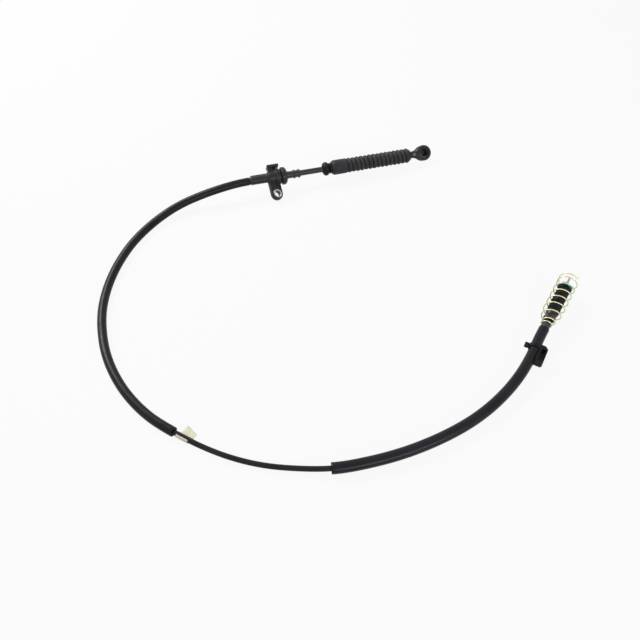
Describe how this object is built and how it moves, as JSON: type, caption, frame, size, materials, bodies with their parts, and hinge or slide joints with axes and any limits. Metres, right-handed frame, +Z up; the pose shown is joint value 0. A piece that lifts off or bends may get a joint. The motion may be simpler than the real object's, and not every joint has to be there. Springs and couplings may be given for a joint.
{
  "type": "transmission shift cable",
  "caption": "Push-pull shift cable with a bracket, bellows boot and rod-end eye at one end and a sprung bellows end at the other.",
  "frame": {"origin": "on the floor, at the middle of the box round the two ends, without the free cable between them", "axes": "+Z up from the floor it lies on, +X to the right and +Y away from the viewer as pictured"},
  "size_m": [0.6306, 0.5731, 0.0369],
  "materials": {
    "casting": "satin moulded nylon",
    "steel": "bright",
    "black_steel": "black coated",
    "rubber": "matte",
    "boot_rubber": "matte, faintly dusty",
    "sheath": "satin",
    "jacket": "smooth extruded",
    "sleeve": "satin with a soft line of sheen",
    "insert": "pale blue grey",
    "tape": "cream film tape",
    "clip": "satin moulded",
    "brown": "satin dark brown",
    "teal": "satin",
    "zinc": "yellow zinc plated",
    "core": "drawn wire"
  },
  "bodies": {
    "cable": {"head_bracket": "casting", "ear_bushing": "steel", "isolator_ring": "rubber", "flange_cap": "casting", "core_wire": "core", "conduit": "jacket", "first_sheath": "sheath", "second_sleeve": "sleeve", "marker_tape": "tape", "sleeve_clip": "clip", "clip_knob": "clip", "tail_ferrule": "black_steel", "tail_grommet": "rubber", "tail_hex_fitting": "brown", "tail_guide_tube": "black_steel", "tail_bellows": "rubber", "tail_spring": "zinc"},
    "swivel_tube": {"head_guide_tube": "black_steel", "boot_seal": "rubber", "head_boot": "boot_rubber"},
    "eye_rod": {"head_rod": "steel", "eye_housing": "casting", "eye_insert": "insert"},
    "tail_plunger": {"tail_rod": "core", "ring_cap": "teal"}
  },
  "joints": [
    {"name": "tube_swing", "type": "hinge", "parent": "cable", "child": "swivel_tube", "pos_m": [-0.17845, 0.11109, 0.02136], "axis": [0, 0, 1], "range_deg": [-7, 7]},
    {"name": "eye_rod_slide", "type": "slide", "parent": "swivel_tube", "child": "eye_rod", "axis": [0.9549, 0.2947, -0.0354], "range_m": [-0.02, 0.02], "deforming": ["head_boot"]},
    {"name": "tail_rod_slide", "type": "slide", "parent": "cable", "child": "tail_plunger", "axis": [0.5182, 0.8527, 0.066], "range_m": [-0.02, 0.02], "deforming": ["tail_bellows"]}
  ],
  "couplings": [
    {"joint": "tail_rod_slide", "follows": "eye_rod_slide", "ratio": -1}
  ]
}
